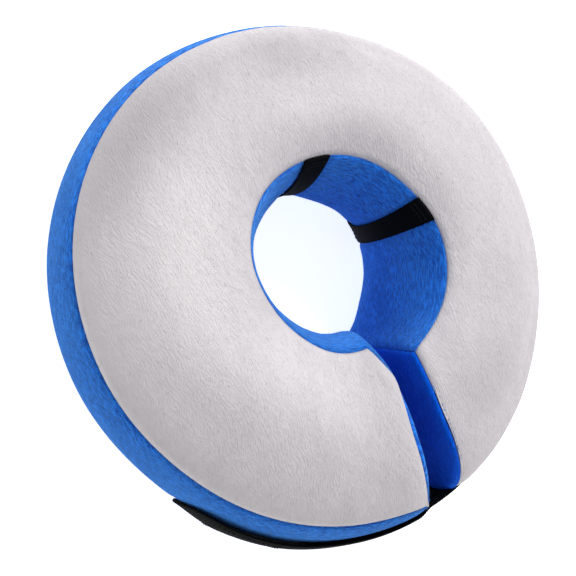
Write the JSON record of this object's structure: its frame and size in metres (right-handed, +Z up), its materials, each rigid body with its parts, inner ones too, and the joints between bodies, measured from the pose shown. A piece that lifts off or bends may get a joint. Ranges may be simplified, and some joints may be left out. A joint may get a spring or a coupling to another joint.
{
  "type": "inflatable recovery collar",
  "caption": "Soft C-shaped recovery collar for a pet, grey and blue plush over an air cushion, with black webbing neck loops and a closure strap.",
  "frame": {"origin": "under the middle of the collar's outline, on the surface it lies on", "axes": "+Z up through the neck hole, square to the ring; -Y towards the slot; +X towards the right lobe"},
  "size_m": [0.2972, 0.3014, 0.1],
  "materials": {
    "grey_plush": "short grey plush",
    "blue_plush": "short royal blue plush",
    "black_webbing": "matt woven webbing"
  },
  "bodies": {
    "root": {"front_panel": "grey_plush", "outer_band": "blue_plush", "back_panel": "blue_plush", "inner_band": "blue_plush", "end_panel_right": "blue_plush", "end_panel_left": "blue_plush", "neck_loop_1": "black_webbing", "neck_loop_2": "black_webbing", "closure_strap": "black_webbing"}
  },
  "joints": []
}
